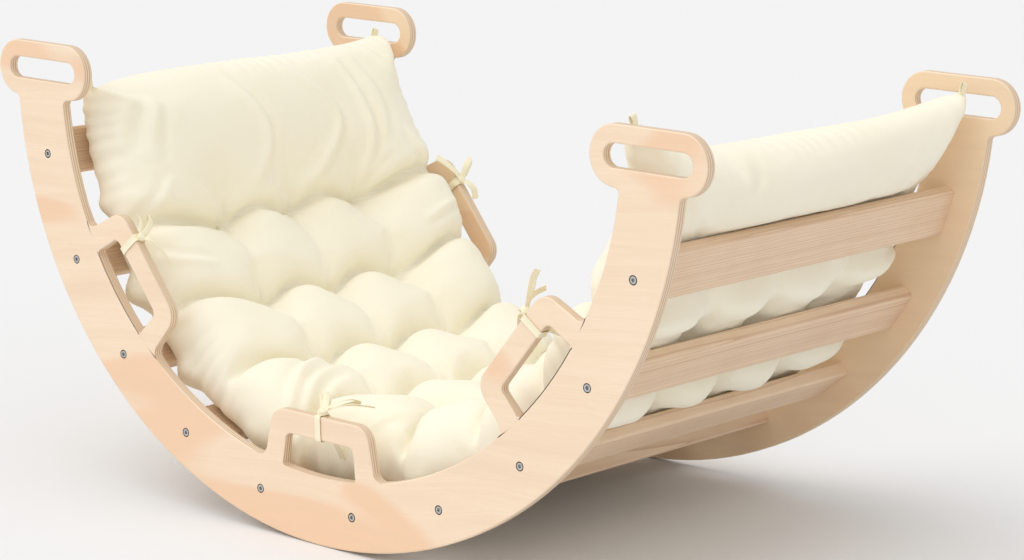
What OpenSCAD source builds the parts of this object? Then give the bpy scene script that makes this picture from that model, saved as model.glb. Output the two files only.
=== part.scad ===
// Arch rocker: two plywood arch panels joined by ten slats, with a tufted
// cushion that lies along the inside of the arch and is tied to its grip loops.
// Origin: middle of the lowest line of the arch. +X runs along the arch,
// +Y from the front panel to the back panel, +Z up.
// Angles on the arch are measured at its axis from straight down, positive to +X.

/* [Arch panels] */
// Outer radius of the arch, which is the radius it rocks on
arch_r = 500; // [430:1:620]
// Width of the arch band, from its outer to its inner edge
band_w = 78; // [70:1:110]
// Thickness of the plywood
ply_t = 12; // [11:0.5:21]
// Distance between the two panels, which is the length of every slat
inner_w = 542; // [430:1:720]

/* [End handles] */
// Length of an end handle
handle_len = 152; // [135:1:200]
// Height of an end handle
handle_h = 65; // [55:1:85]
// Length of the hand slot in an end handle
hand_slot_len = 113; // [80:1:120]
// Height of the hand slot in an end handle
hand_slot_h = 25; // [20:1:34]
// How far the middle of a handle lies below the axis of the arch
handle_drop = 12.5; // [5:0.5:25]
// How far a handle is set inwards from the middle of the band
handle_inset = 5; // [0:0.5:8]
// Radius where a handle runs into the band
handle_fillet = 7; // [3:0.5:8]

/* [Grip loops] */
// Place of the two outer grip loops on the arch, in degrees
loop_angle = 51.4; // [44:0.1:54]
// Length of a grip loop along the inner edge of the band
loop_len = 170; // [150:1:185]
// How far a grip loop stands in from the band
loop_rise = 69; // [60:1:80]
// Thickness of the bar of a grip loop
loop_bar = 27; // [18:0.5:30]
// Length of the slot under a grip loop
loop_slot_len = 112; // [90:1:120]
// Radius of the outer corners of a grip loop
loop_corner = 22; // [10:0.5:24]
// Radius of the corners of the slot beside the bar
slot_corner = 8; // [4:0.5:10]
// Radius of the corners of the slot beside the band
slot_foot = 3; // [1.5:0.5:4]
// Radius where a grip loop runs into the band
loop_fillet = 11; // [5:0.5:14]

/* [Slats] */
// Width of a slat
slat_w = 55; // [50:1:70]
// Thickness of a slat
slat_t = 18; // [16:0.5:24]
// Radius on the long edges of a slat
slat_edge = 4; // [1:0.5:6]
// Place of the first slat to the left of the middle, in degrees
left_start = 11.5; // [10:0.1:14]
// Angle from one slat to the next on the left, in degrees
left_pitch = 16.15; // [14:0.05:16.3]
// Place of the first slat to the right of the middle, in degrees
right_start = 6.3; // [5:0.1:8]
// Angle from one slat to the next on the right, in degrees
right_pitch = 16.65; // [14:0.05:16.8]

/* [Screws and dowels] */
// Diameter of a screw's countersunk head
screw_head_d = 10; // [9:0.5:12]
// Diameter of a screw's shank where it passes through the plywood
screw_shank_d = 7; // [6:0.5:8]
// Diameter of the screw in the end of the slat
screw_core_d = 5; // [4:0.5:5.5]
// Length of a screw
screw_len = 50; // [40:1:60]
// Width across the flats of a screw's hexagon socket
socket_af = 4; // [3:0.5:5]
// Depth of the hexagon socket
socket_depth = 3; // [2:0.5:4]
// Diameter of a wooden dowel
dowel_d = 8; // [6:0.5:9]
// Length of a wooden dowel
dowel_len = 30; // [24:1:36]
// Depth of a dowel in the plywood
dowel_in_ply = 8; // [6:0.5:8.5]
// Distance between the two dowels at one end of a slat
dowel_gap = 32; // [28:1:36]

/* [Cushion] */
// Gap between each side of the cushion and the panel beside it
cushion_side_gap = 24; // [12:1:40]
// Thickness of the cushion at the puffs
cushion_t = 94; // [66:1:100]
// Half of the arc that the cushion lies along, in degrees
cushion_half = 87.5; // [80:0.5:89]
// Radius of the cushion's rounded long edges
cushion_edge = 30; // [15:1:32]
// Thickness of the cover cloth
cloth_t = 1; // [0.8:0.1:1.5]
// Angle from one row of tufts to the next, in degrees
tuft_pitch = 16.7; // [15:0.1:17]
// Distance between the tufts across the cushion
tuft_gap = 111; // [90:1:125]
// Diameter of the tufting thread
thread_d = 1.5; // [1:0.1:2]

/* [Ties] */
// Width of the tie tape
tape_w = 9; // [6:0.5:12]
// Thickness of the tie tape
tape_t = 1; // [0.6:0.1:1.5]
// How far an outer tie lies from the middle of its grip loop, up the arch
tie_offset = 34; // [26:1:36]
// Length of a free tie end
tail_len = 42; // [30:1:50]
// Size of a knot
knot = 11; // [9:0.5:13]
// Length of the tab at a corner of the cushion
tab_len = 16; // [10:1:18]

/* [Hidden] */

$fn = 96;
arc_fn = 360;
arc_steps = 12;     // straight steps in a small round corner
bite = 0.15;        // how far a fillet's ends run into what they join
slot_lip = 0.6;     // from the foot of a grip loop's slot to the inner edge of the band
fit_gap = 0.1;      // glue and drilling clearance, on the radius
seat_gap = 0.3;     // between the cushion and the slats it lies on
inner_r = arch_r - band_w;
band_r = arch_r - band_w / 2;
slat_inner_r = band_r - slat_t / 2;
half_w = inner_w / 2;
left_slats = [for (i = [4:-1:0]) -left_start - i * left_pitch];
right_slats = [for (i = [0:4]) right_start + i * right_pitch];
slat_angles = concat(left_slats, right_slats);
loop_angles = [-loop_angle, 0, loop_angle];

handle_x = sqrt(band_r * band_r - handle_drop * handle_drop) - handle_inset;
handle_end_r = handle_h / 2;
handle_straight = handle_len / 2 - handle_end_r;
half_loop = asin(loop_len / 2 / inner_r);
half_slot = asin(loop_slot_len / 2 / inner_r);
loop_top_r = inner_r - loop_rise;
slot_top_r = loop_top_r + loop_bar;
grip_foot = 5;      // how far a grip loop is let into the band

cushion_w = inner_w - 2 * cushion_side_gap;
cushion_out_r = slat_inner_r - seat_gap;
cushion_in_r = cushion_out_r - cushion_t;
seam_r = cushion_out_r - cushion_t / 2;
cloth_gap = 0.25;    // between the filling and the cloth
fill_cut = cloth_t + cloth_gap;
tuft_rows = [for (i = [-3.5:1:3.5]) i * tuft_pitch];
tuft_columns = [-tuft_gap, 0, tuft_gap];

// A point on the arch at an angle and a radius, seen from the front
function onArch(a, r) = [r * sin(a), -r * cos(a)];

// Points along a round corner, from one direction to another
function corner(c, r, a0, a1) =
    [for (i = [0:arc_steps]) let (a = a0 + (a1 - a0) * i / arc_steps) c + r * [cos(a), sin(a)]];

// Points along the arch at one radius
function along(r, a0, a1) =
    [for (i = [0:arc_steps]) onArch(a0 + (a1 - a0) * i / arc_steps, r)];

function bothSides(right) =
    concat(right, [for (i = [len(right) - 1:-1:0]) [-right[i].x, right[i].y]]);

function direction(v) = atan2(v.y, v.x);

// Outline of a grip: a straight edge at a distance from the axis, then a side that
// points at the axis
function gripTop(top, half, r) =
    let (v = top + r) corner([v * tan(half) - r / cos(half), -v], r, 90, half);

function loopOutline() =
    let (m = inner_r - loop_fillet + bite, off = asin(loop_fillet / m), a = half_loop + off)
    bothSides(concat(gripTop(loop_top_r, half_loop, loop_corner),
                     corner(onArch(a, m), loop_fillet, 180 + half_loop, 270 + a),
                     along(inner_r + grip_foot, a, 0)));

function slotOutline() =
    let (foot_r = inner_r - slot_lip, m = foot_r - slot_foot, a = half_slot - asin(slot_foot / m))
    bothSides(concat(gripTop(slot_top_r, half_slot, slot_corner),
                     corner(onArch(a, m), slot_foot, half_slot, a - 90),
                     along(foot_r, a, 0)));

// Where two circles cross, taking the lower crossing
function crossing(r0, c1, r1) =
    let (d = norm(c1), u = c1 / d, k = (r0 * r0 - r1 * r1 + d * d) / (2 * d),
         h = sqrt(r0 * r0 - k * k), left = [u.y, -u.x])
    left.y < 0 ? k * u + h * left : k * u - h * left;

// Middle of the fillet between the arch circle of radius r and a handle's underside
function filletMiddle(r, side) =
    let (z = -handle_drop - handle_end_r - handle_fillet,
         x = sqrt(pow(r + side * handle_fillet, 2) - z * z))
    side * (x - handle_x) <= handle_straight ? [x, z]
    : crossing(r + side * handle_fillet, [handle_x + side * handle_straight, -handle_drop],
               handle_end_r + handle_fillet);

// Fills the corner between a handle's underside and the arch circle of radius r
function filletOutline(r, side) =
    let (m = filletMiddle(r, side), end_x = side * min(side * m.x, side * handle_x + handle_straight),
         to_handle = direction([end_x, -handle_drop] - m), to_arch = direction(-side * m),
         a1 = to_arch > to_handle + 180 ? to_arch - 360 : to_arch,
         deep = m + [-side * handle_fillet, handle_fillet] * 1.6)
    concat(corner(m, handle_fillet + bite, to_handle, a1), [deep]);

// ---- shapes of the side panel, drawn round the axis of the arch ----

// Gives a flat shape the thickness of the plywood, and more on both sides for a cut
module plate(more = 0) {
    translate([0, 0, -more]) linear_extrude(ply_t + 2 * more) children();
}

module stadium(straight, r, more = 0) {
    plate(more) square([2 * straight, 2 * r], center = true);
    for (s = [-1, 1]) translate([s * straight, 0]) plate(more) circle(r);
}

module endHandle() {
    translate([handle_x, -handle_drop]) stadium(handle_straight, handle_end_r);
    plate() polygon(filletOutline(inner_r, -1));
    plate() polygon(filletOutline(arch_r, 1));
}

module archBand() {
    plate() intersection() {
        difference() {
            circle(arch_r, $fn = arc_fn);
            circle(inner_r, $fn = arc_fn);
        }
        translate([-arch_r - 1, -arch_r - 1])
            square([2 * arch_r + 2, arch_r + 1 - handle_drop]);
    }
}

module panelBoard() {
    cut = 1;
    difference() {
        union() {
            archBand();
            endHandle();
            mirror([1, 0, 0]) endHandle();
            for (a = loop_angles) rotate(a) plate() polygon(loopOutline());
        }
        for (s = [-1, 1])
            translate([s * handle_x, -handle_drop])
                stadium((hand_slot_len - hand_slot_h) / 2, hand_slot_h / 2, cut);
        for (a = loop_angles) rotate(a) plate(cut) polygon(slotOutline());
    }
}

// ---- places ----

// Puts what is drawn at the foot of the arch, on its axis frame, at an angle
module atAngle(a) {
    translate([0, 0, arch_r]) rotate([0, -a, 0]) children();
}

// Puts what is drawn along +Y from a panel's outer face at the front (-1) or back (1)
module atSlatEnd(a, side) {
    atAngle(a) translate([0, side * (half_w + ply_t), -band_r])
        rotate([0, 0, side > 0 ? 180 : 0]) children();
}

// A round piece along +Y, from its lengthwise half outline of [radius, distance] points
module turnedY(outline) {
    rotate([-90, 0, 0]) rotate_extrude() polygon(outline);
}

// ---- pieces ----

function screwOutline(gap) =
    let (rim = 0.8, cone = (screw_head_d - screw_shank_d) / 2, g = gap)
    [[0, -g], [screw_head_d / 2 + g, -g], [screw_head_d / 2 + g, rim],
     [screw_shank_d / 2 + g, rim + cone], [screw_shank_d / 2 + g, ply_t + g],
     [screw_core_d / 2 + g, ply_t + g], [screw_core_d / 2 + g, screw_len - 4 + g],
     [0.8, screw_len + g], [0, screw_len + g]];

module screw() {
    difference() {
        turnedY(screwOutline(0));
        translate([0, -1, 0]) rotate([-90, 0, 0])
            cylinder(d = socket_af / cos(30), h = socket_depth + 1, $fn = 6);
    }
}

function dowelOutline(gap, chamfer) =
    let (r = dowel_d / 2 + gap, y0 = ply_t - dowel_in_ply - 2 * gap, y1 = y0 + dowel_len + 4 * gap)
    [[0, y0], [r - chamfer, y0], [r, y0 + chamfer], [r, y1 - chamfer], [r - chamfer, y1], [0, y1]];

module sidePanel(side) {
    difference() {
        translate([0, side > 0 ? half_w + ply_t : -half_w, arch_r])
            rotate([90, 0, 0]) panelBoard();
        for (a = slat_angles) {
            atSlatEnd(a, side) turnedY(screwOutline(fit_gap));
            for (s = [-1, 1])
                atSlatEnd(a, side) translate([s * dowel_gap / 2, 0, 0])
                    turnedY(dowelOutline(fit_gap, 0));
        }
    }
}

module slatProfile() {
    square([slat_w - 2 * slat_edge, slat_t], center = true);
    square([slat_w, slat_t - 2 * slat_edge], center = true);
    for (x = [-1, 1], y = [-1, 1])
        translate([x * (slat_w / 2 - slat_edge), y * (slat_t / 2 - slat_edge)]) circle(slat_edge);
}

module slat(a) {
    color("#dcb894") difference() {
        atAngle(a) translate([0, half_w, -band_r]) rotate([90, 0, 0])
            linear_extrude(inner_w) slatProfile();
        for (side = [-1, 1]) {
            atSlatEnd(a, side) turnedY(screwOutline(fit_gap));
            for (s = [-1, 1])
                atSlatEnd(a, side) translate([s * dowel_gap / 2, 0, 0])
                    turnedY(dowelOutline(fit_gap, 0));
        }
    }
}

module screws(side) {
    color("silver") for (a = slat_angles) atSlatEnd(a, side) screw();
}

module dowels(side) {
    color("#e3c48f") for (a = slat_angles, s = [-1, 1])
        atSlatEnd(a, side) translate([s * dowel_gap / 2, 0, 0]) turnedY(dowelOutline(0, 0.8));
}

// Section of the cushion between its faces, drawn with the radius as x
module cushionProfile(cut, r0, r1) {
    e = cushion_edge - cut;
    w = cushion_w / 2 - cut;
    lo = cushion_in_r + cut;
    hi = cushion_out_r - cut;
    intersection() {
        union() {
            translate([lo, e - w]) square([hi - lo, 2 * (w - e)]);
            translate([lo + e, -w]) square([hi - lo - 2 * e, 2 * w]);
            for (x = [lo + e, hi - e], y = [e - w, w - e]) translate([x, y]) circle(e);
        }
        translate([r0, -w - 1]) square([r1 - r0, 2 * w + 2]);
    }
}

// Carries a section round the arch, to an angle on each side of the middle
module roundArch(half) {
    translate([0, 0, arch_r]) rotate([90, 0, 0]) rotate([0, 0, -90 - half])
        rotate_extrude(angle = 2 * half, $fn = arc_fn) children();
}

module tuftHoles(d) {
    for (a = tuft_rows, y = tuft_columns)
        atAngle(a) translate([0, y, -cushion_out_r - 1]) cylinder(d = d, h = cushion_t + 2, $fn = 24);
}

module filling() {
    half = cushion_half - asin(fill_cut / seam_r);
    color("#f4efe2") difference() {
        roundArch(half) cushionProfile(fill_cut, 0, arch_r);
        tuftHoles(thread_d + 0.4);
    }
}

module coverCloth(r0, r1) {
    half = cushion_half - asin(cloth_t / seam_r);
    difference() {
        roundArch(cushion_half) cushionProfile(0, r0, r1);
        roundArch(half) cushionProfile(cloth_t, 0, arch_r);
        tuftHoles(thread_d + 0.4);
    }
}

module tuftThreads() {
    color("#efe6c8") for (a = tuft_rows, y = tuft_columns)
        atAngle(a) translate([0, y, -cushion_out_r]) cylinder(d = thread_d, h = cushion_t, $fn = 24);
}

// A tape looped round the bar of a grip loop, sewn to the cushion's side seam,
// with its knot above the bar and two free ends along it. Drawn at the front.
module tie(a, offset, side) {
    bar_gap = 0.4;
    ring_in = half_w - bar_gap - tape_t;
    ring_out = half_w + ply_t + bar_gap + tape_t;
    ring_top = bar_gap + tape_t - loop_top_r;
    ring_foot = -slot_top_r - bar_gap - tape_t;
    knot_h = 0.7 * knot;
    mid = -half_w - ply_t / 2;
    color("#f5edc4") mirror([0, side > 0 ? 1 : 0, 0]) atAngle(a) translate([offset, 0, 0]) {
        difference() {
            translate([-tape_w / 2, -ring_out, ring_foot])
                cube([tape_w, ring_out - ring_in, ring_top - ring_foot]);
            translate([-tape_w, -ring_out + tape_t, ring_foot + tape_t])
                cube([2 * tape_w, ring_out - ring_in - 2 * tape_t, ring_top - ring_foot - 2 * tape_t]);
        }
        translate([-tape_w / 2, -ring_in - tape_t, -seam_r])
            cube([tape_w, tape_t, seam_r + ring_foot + tape_t]);
        translate([-tape_w / 2, -ring_in - tape_t, -seam_r])
            cube([tape_w, ring_in + tape_t - cushion_w / 2, tape_t]);
        translate([-knot / 2, mid - knot / 2, ring_top]) cube([knot, knot, knot_h]);
        for (x = [-tail_len, 0])
            translate([x, mid - tape_w / 2, ring_top]) cube([tail_len, tape_w, tape_t]);
    }
}

module cornerTabs() {
    color("#f5edc4") for (end = [-1, 1], side = [-1, 1])
        atAngle(end * cushion_half) translate([end > 0 ? 0 : -tab_len,
            side * (cushion_w / 2 - cushion_edge) - tape_w / 2, -seam_r - tape_t])
            cube([tab_len, tape_w, 2 * tape_t]);
}

color("#eccfa6") sidePanel(-1);  // front_side_panel
color("#eccfa6") sidePanel(1);  // back_side_panel
slat(slat_angles[0]);  // slat_1
slat(slat_angles[1]);  // slat_2
slat(slat_angles[2]);  // slat_3
slat(slat_angles[3]);  // slat_4
slat(slat_angles[4]);  // slat_5
slat(slat_angles[5]);  // slat_6
slat(slat_angles[6]);  // slat_7
slat(slat_angles[7]);  // slat_8
slat(slat_angles[8]);  // slat_9
slat(slat_angles[9]);  // slat_10
screws(-1);  // front_screws
screws(1);  // back_screws
dowels(-1);  // front_dowels
dowels(1);  // back_dowels
filling();  // cushion_filling
color("#fbf5dc") coverCloth(0, seam_r);  // cushion_face_cloth
color("#f5edcf") coverCloth(seam_r, arch_r);  // cushion_back_cloth
tuftThreads();  // tuft_threads
tie(-loop_angle, -tie_offset, -1);  // front_left_tie
tie(0, 0, -1);  // front_middle_tie
tie(loop_angle, tie_offset, -1);  // front_right_tie
tie(-loop_angle, -tie_offset, 1);  // back_left_tie
tie(0, 0, 1);  // back_middle_tie
tie(loop_angle, tie_offset, 1);  // back_right_tie
cornerTabs();  // corner_tabs
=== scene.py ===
import math

import bpy
import numpy as np
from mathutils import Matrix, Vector


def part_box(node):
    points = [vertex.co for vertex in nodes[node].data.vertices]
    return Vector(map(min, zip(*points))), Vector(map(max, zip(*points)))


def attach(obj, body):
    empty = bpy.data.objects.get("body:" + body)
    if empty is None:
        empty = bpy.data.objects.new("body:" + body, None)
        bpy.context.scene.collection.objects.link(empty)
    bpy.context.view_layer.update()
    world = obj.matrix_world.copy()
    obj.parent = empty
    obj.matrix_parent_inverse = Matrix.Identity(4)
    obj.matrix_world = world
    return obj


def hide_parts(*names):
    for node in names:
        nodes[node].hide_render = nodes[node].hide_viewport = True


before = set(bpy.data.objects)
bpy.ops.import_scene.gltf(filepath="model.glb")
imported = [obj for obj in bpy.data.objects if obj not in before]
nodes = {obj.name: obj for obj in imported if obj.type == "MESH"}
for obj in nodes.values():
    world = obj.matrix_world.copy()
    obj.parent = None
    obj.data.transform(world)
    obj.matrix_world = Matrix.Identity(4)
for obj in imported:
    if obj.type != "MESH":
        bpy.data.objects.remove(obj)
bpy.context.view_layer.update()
print("frame loaded:", len(nodes), "nodes")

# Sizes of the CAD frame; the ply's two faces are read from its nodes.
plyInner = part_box("back_side_panel")[0].y
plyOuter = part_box("back_side_panel")[1].y
archRadius = 0.5  # the panel's outer edge, about an axis this high above the floor
slatAngles = [-76.1, -59.95, -43.8, -27.65, -11.5, 6.3, 22.95, 39.6, 56.25, 72.9]


def onArch(degrees, radius, y=0.0):
    a = math.radians(degrees)
    return Vector((radius * math.sin(a), y, archRadius - radius * math.cos(a)))


# The camera is made first.

cameraFacts = {"place": (2.3962, -2.7182, 1.0010), "down": 11.55, "turn": 40.99, "roll": 0.72, "lens": 111.85}

bpy.ops.object.camera_add(location=cameraFacts["place"])
camera = bpy.context.object
camera.name = "mainCamera"
camera.rotation_euler = (math.radians(90 - cameraFacts["down"]), 0, math.radians(cameraFacts["turn"]))
camera.rotation_euler.rotate_axis("Z", math.radians(cameraFacts["roll"]))
camera.data.sensor_width = 36
camera.data.lens = cameraFacts["lens"]
camera.data.clip_end = 100
bpy.context.scene.camera = camera


def selectOnly(*pieces):
    for piece in list(bpy.context.selected_objects):
        piece.select_set(False)
    for piece in pieces:
        piece.select_set(True)
    if pieces:
        bpy.context.view_layer.objects.active = pieces[0]


def applyAll(piece):
    selectOnly(piece)
    for modifier in list(piece.modifiers):
        bpy.ops.object.modifier_apply(modifier=modifier.name)


def readPoints(mesh):
    points = np.zeros(len(mesh.vertices) * 3)
    mesh.vertices.foreach_get("co", points)
    return points.reshape(-1, 3)


def writePoints(mesh, points):
    mesh.vertices.foreach_set("co", points.astype(np.float32).ravel())
    mesh.update()


def fromArch(angles, radii, ys):
    a = np.radians(angles)
    return np.stack([radii * np.sin(a), ys, archRadius - radii * np.cos(a)], -1)


def toArch(points):
    x, z = points[:, 0], archRadius - points[:, 2]
    return np.degrees(np.arctan2(x, z)), np.hypot(x, z), points[:, 1]


def giveMaterial(piece, material):
    piece.data.materials.clear()
    piece.data.materials.append(material)


def addNode(tree, kind, x, y, **settings):
    node = tree.nodes.new(kind)
    node.location = (x, y)
    for name, value in settings.items():
        setattr(node, name, value)
    return node


def setInputs(node, **values):
    for name, value in values.items():
        node.inputs[name.replace("_", " ")].default_value = value
    return node


def maths(tree, kind, a, b=None, x=0, y=0, clamp=False):
    node = addNode(tree, "ShaderNodeMath", x, y, operation=kind, use_clamp=clamp)
    for index, value in enumerate((a, b)):
        if value is None:
            continue
        if isinstance(value, (int, float)):
            node.inputs[index].default_value = value
        else:
            tree.links.new(value, node.inputs[index])
    return node.outputs[0]


def mixColour(tree, amount, first, second, x=0, y=0, blend="MIX"):
    node = addNode(tree, "ShaderNodeMix", x, y, data_type="RGBA", blend_type=blend)
    for name, value in ((0, amount), (6, first), (7, second)):
        if isinstance(value, tuple):
            node.inputs[name].default_value = (*value, 1)
        elif isinstance(value, (int, float)):
            node.inputs[name].default_value = value
        else:
            tree.links.new(value, node.inputs[name])
    return node.outputs[2]


def mapRange(tree, source, x, y, smooth=False, **values):
    node = addNode(tree, "ShaderNodeMapRange", x, y, interpolation_type="SMOOTHSTEP" if smooth else "LINEAR")
    tree.links.new(source, node.inputs["Value"])
    return setInputs(node, **values)


def tint(tree, colour, mask, share, target, x, y):
    # Brings a colour towards a target by a share of the mask.
    return mixColour(tree, maths(tree, "MULTIPLY", mask, share, x - 160, y - 120), colour, target, x, y)


def newMaterial(name, **values):
    material = bpy.data.materials.new(name)
    material.use_nodes = True
    tree = material.node_tree
    shader = next(n for n in tree.nodes if n.type == "BSDF_PRINCIPLED")
    shader.location = (900, 0)
    next(n for n in tree.nodes if n.type == "OUTPUT_MATERIAL").location = (1200, 0)
    setInputs(shader, **values)
    return material, tree, shader


def newGroup(name, inputs, outputs):
    group = bpy.data.node_groups.new(name, "ShaderNodeTree")
    for label, kind, value in inputs:
        socket = group.interface.new_socket(name=label, in_out="INPUT", socket_type=kind)
        if value is not None:
            socket.default_value = value
    for label, kind in outputs:
        group.interface.new_socket(name=label, in_out="OUTPUT", socket_type=kind)
    return group, addNode(group, "NodeGroupInput", -1200, 0), addNode(group, "NodeGroupOutput", 900, 0)


def placeGroup(tree, group, x, y, **values):
    node = addNode(tree, "ShaderNodeGroup", x, y, node_tree=group)
    return setInputs(node, **values)


def makeWoodGrain():
    # Grain that runs along X of the vector it is given: broad streaks, growth lines, pores.
    group, feed, result = newGroup("woodGrain", [
        ("Vector", "NodeSocketVector", None), ("Line Spacing", "NodeSocketFloat", 0.004),
        ("Waviness", "NodeSocketFloat", 0.5), ("Pith Depth", "NodeSocketFloat", 0.05),
        ("Seed", "NodeSocketFloat", 0.0)],
        [(label, "NodeSocketFloat") for label in ("Streaks", "Lines", "Pores", "Height")])
    link = group.links.new
    # slow bending of the grain
    bend = addNode(group, "ShaderNodeTexNoise", -900, 200, noise_dimensions="4D")
    setInputs(bend, Scale=3.0, Detail=2.0, Roughness=0.5)
    squeeze = addNode(group, "ShaderNodeMapping", -1050, 200)
    squeeze.inputs["Scale"].default_value = (0.6, 2.2, 2.2)
    link(feed.outputs["Vector"], squeeze.inputs["Vector"])
    link(squeeze.outputs[0], bend.inputs["Vector"])
    link(feed.outputs["Seed"], bend.inputs["W"])
    centred = addNode(group, "ShaderNodeVectorMath", -700, 200, operation="SUBTRACT")
    centred.inputs[1].default_value = (0.5, 0.5, 0.5)
    link(bend.outputs["Color"], centred.inputs[0])
    scaled = addNode(group, "ShaderNodeVectorMath", -550, 200, operation="SCALE")
    link(centred.outputs[0], scaled.inputs[0])
    link(maths(group, "MULTIPLY", feed.outputs["Waviness"], 0.03, -700, 60), scaled.inputs["Scale"])
    bent = addNode(group, "ShaderNodeVectorMath", -400, 200, operation="ADD")
    link(feed.outputs["Vector"], bent.inputs[0])
    link(scaled.outputs[0], bent.inputs[1])
    # broad tone streaks along the board
    streakMap = addNode(group, "ShaderNodeMapping", -250, 420)
    streakMap.inputs["Scale"].default_value = (1.6, 55, 55)
    link(bent.outputs[0], streakMap.inputs["Vector"])
    streaks = addNode(group, "ShaderNodeTexNoise", -80, 420, noise_dimensions="4D")
    setInputs(streaks, Scale=1.0, Detail=3.0, Roughness=0.55)
    link(streakMap.outputs[0], streaks.inputs["Vector"])
    link(feed.outputs["Seed"], streaks.inputs["W"])
    # growth lines: rings about a pith that runs along the board below its face
    parts = addNode(group, "ShaderNodeSeparateXYZ", -250, 150)
    link(bent.outputs[0], parts.inputs[0])
    down = maths(group, "ADD", parts.outputs["Z"], feed.outputs["Pith Depth"], -80, 150)
    across = maths(group, "POWER", parts.outputs["Y"], 2.0, -80, 60)
    radius = maths(group, "SQRT", maths(group, "ADD", maths(group, "POWER", down, 2.0, 60, 150), across, 200, 150), None, 330, 150)
    turns = maths(group, "DIVIDE", radius, feed.outputs["Line Spacing"], 460, 150)
    uneven = addNode(group, "ShaderNodeTexNoise", 60, -60, noise_dimensions="1D")
    setInputs(uneven, Scale=180.0, Detail=2.0)
    link(radius, uneven.inputs["W"])
    jitter = maths(group, "MULTIPLY", uneven.outputs["Fac"], 2.2, 330, -60)
    phase = maths(group, "FRACT", maths(group, "ADD", turns, jitter, 560, 60), None, 640, 60)
    late = maths(group, "POWER", phase, 3.0, 700, 150)  # pale early wood darkens to a sharp late line
    # fine pores and fibres
    fibreMap = addNode(group, "ShaderNodeMapping", -250, -260)
    fibreMap.inputs["Scale"].default_value = (28, 1500, 1500)
    link(bent.outputs[0], fibreMap.inputs["Vector"])
    fibres = addNode(group, "ShaderNodeTexNoise", -80, -260)
    setInputs(fibres, Scale=1.0, Detail=2.0, Roughness=0.6)
    link(fibreMap.outputs[0], fibres.inputs["Vector"])
    poreRange = mapRange(group, fibres.outputs["Fac"], 120, -260, From_Min=0.42, From_Max=0.7, To_Min=0.0, To_Max=1.0)
    link(streaks.outputs["Fac"], result.inputs["Streaks"])
    link(late, result.inputs["Lines"])
    link(poreRange.outputs[0], result.inputs["Pores"])
    link(maths(group, "ADD", maths(group, "MULTIPLY", fibres.outputs["Fac"], 0.7, 300, -330),
               maths(group, "MULTIPLY", late, 0.3, 300, -200), 560, -260), result.inputs["Height"])
    return group


def makeHandling():
    # Soft blotches of handling and lacquer, for tone and gloss.
    group, feed, result = newGroup("handling", [
        ("Vector", "NodeSocketVector", None), ("Size", "NodeSocketFloat", 14.0), ("Seed", "NodeSocketFloat", 0.0)],
        [("Mask", "NodeSocketFloat"), ("Gloss", "NodeSocketFloat")])
    link = group.links.new
    blotch = addNode(group, "ShaderNodeTexNoise", -600, 100, noise_dimensions="4D")
    setInputs(blotch, Detail=4.0, Roughness=0.6)
    fine = addNode(group, "ShaderNodeTexNoise", -600, -200)
    setInputs(fine, Scale=160.0, Detail=3.0, Roughness=0.6)
    link(feed.outputs["Vector"], blotch.inputs["Vector"])
    link(feed.outputs["Vector"], fine.inputs["Vector"])
    link(feed.outputs["Size"], blotch.inputs["Scale"])
    link(feed.outputs["Seed"], blotch.inputs["W"])
    spread = mapRange(group, blotch.outputs["Fac"], -300, 100, From_Min=0.38, From_Max=0.68)
    link(spread.outputs[0], result.inputs["Mask"])
    link(maths(group, "ADD", maths(group, "MULTIPLY", spread.outputs[0], 0.6, -100, 0),
               maths(group, "MULTIPLY", fine.outputs["Fac"], 0.4, -100, -200), 200, 0), result.inputs["Gloss"])
    return group


woodGrain = makeWoodGrain()
handling = makeHandling()


def objectVector(tree, turnDegrees=0.0, shift=(0.0, 0.0, 0.0), lengthAlong="X", x=-1500, y=0):
    # Object coordinates, turned about the arch axis and shifted, with the grain's direction as X.
    coordinates = addNode(tree, "ShaderNodeTexCoord", x, y)
    mapping = addNode(tree, "ShaderNodeMapping", x + 180, y)
    mapping.inputs["Rotation"].default_value = (0, math.radians(turnDegrees), 0)
    mapping.inputs["Location"].default_value = shift
    tree.links.new(coordinates.outputs["Object"], mapping.inputs["Vector"])
    if lengthAlong == "X":
        return mapping.outputs[0]
    parts = addNode(tree, "ShaderNodeSeparateXYZ", x + 360, y)
    swapped = addNode(tree, "ShaderNodeCombineXYZ", x + 520, y)
    tree.links.new(mapping.outputs[0], parts.inputs[0])
    order = {"Y": ("Y", "X", "Z"), "Z": ("Z", "Y", "X")}[lengthAlong]
    for target, source in zip("XYZ", order):
        tree.links.new(parts.outputs[source], swapped.inputs[target])
    return swapped.outputs[0]


plyFacts = {
    "layers": 7, "glue": 0.13,
    "face": (0.955, 0.765, 0.575), "faceWarm": (0.92, 0.635, 0.425),
    # the back panel's face colours are the front's, darkened and yellowed: painted shade for its inner face
    "backFace": (0.90, 0.69, 0.465), "backWarmPaintedShade": (0.84, 0.57, 0.36), "streak": (0.82, 0.60, 0.42),
    "edgeLong": (0.90, 0.745, 0.565), "edgeEnd": (0.62, 0.43, 0.275), "glueLine": (0.33, 0.19, 0.10),
}


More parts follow.
